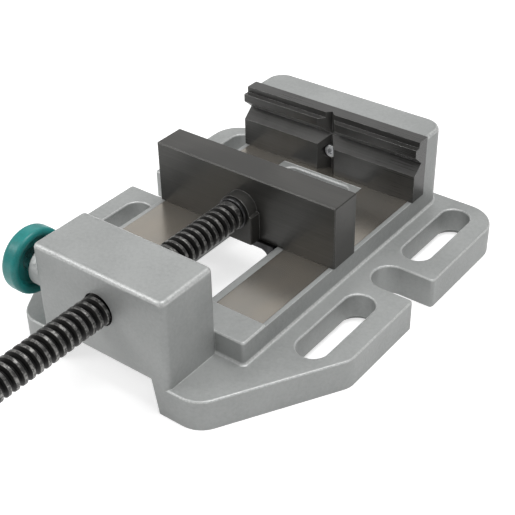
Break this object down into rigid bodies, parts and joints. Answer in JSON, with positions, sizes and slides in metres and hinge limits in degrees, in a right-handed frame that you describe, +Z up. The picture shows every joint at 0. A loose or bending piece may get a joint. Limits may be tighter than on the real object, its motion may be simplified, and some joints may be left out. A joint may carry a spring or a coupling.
{
  "type": "drill press vise",
  "caption": "Low cast drill press vise: slotted flanges, V-grooved fixed jaw plate, sliding jaw on a screw spindle, and a push button at the side that frees the spindle.",
  "frame": {"origin": "on the underside, midway between the two side notches and between the four slots", "axes": "+X to the right seen from the handle, +Y from the handle to the fixed jaw, +Z up"},
  "size_m": [0.165, 0.2683, 0.0735],
  "materials": {
    "casting_paint": "satin silver-grey paint over a fine cast grain, rails and top ledges milled bright",
    "black_oxide": "ground steel with a black oxide finish, edges worn bright",
    "spindle_steel": "dark oiled steel with a grey sheen on its crests",
    "bright_steel": "plain turned steel",
    "bar_cap": "black moulded plastic",
    "button_plastic": "teal moulded plastic, satin"
  },
  "bodies": {
    "base": {"base_casting": "casting_paint", "fixed_jaw_plate": "black_oxide", "plate_screw_front": "bright_steel", "plate_screw_right": "black_oxide", "plate_screw_left": "black_oxide", "slide_cover": "black_oxide", "cover_screw_right": "black_oxide", "cover_screw_left": "black_oxide", "release_spring": "bright_steel"},
    "jaw": {"moving_jaw": "black_oxide", "jaw_guide": "spindle_steel", "guide_screw_right": "black_oxide", "guide_screw_left": "black_oxide", "retaining_pin_right": "bright_steel", "retaining_pin_left": "bright_steel"},
    "spindle": {"spindle": "spindle_steel", "thrust_washer": "bright_steel", "spindle_head": "spindle_steel", "head_pin": "bright_steel"},
    "handle": {"tommy_bar": "bright_steel", "bar_cap_upper": "bar_cap", "bar_cap_lower": "bar_cap"},
    "release": {"release_slide": "spindle_steel", "release_stem": "bright_steel", "release_button": "button_plastic", "button_screw": "bright_steel"}
  },
  "joints": [
    {"name": "jaw_slide", "type": "slide", "parent": "base", "child": "jaw", "axis": [0, 1, 0], "range_m": [-0.0485, 0.05]},
    {"name": "spindle_spin", "type": "hinge", "parent": "jaw", "child": "spindle", "pos_m": [0, -0.03, 0.04], "axis": [0, 1, 0], "range_deg": [-4370, 4505]},
    {"name": "bar_slide", "type": "slide", "parent": "spindle", "child": "handle", "axis": [0.342, 0, 0.9397], "range_m": [-0.018, 0.018]},
    {"name": "button_press", "type": "slide", "parent": "base", "child": "release", "axis": [1, 0, 0], "range_m": [0, 0.004], "stiffness_N_per_m": 1500, "springref_m": -0.004}
  ],
  "couplings": [
    {"joint": "spindle_spin", "follows": "jaw_slide", "rad_per_m": 1570.8}
  ]
}
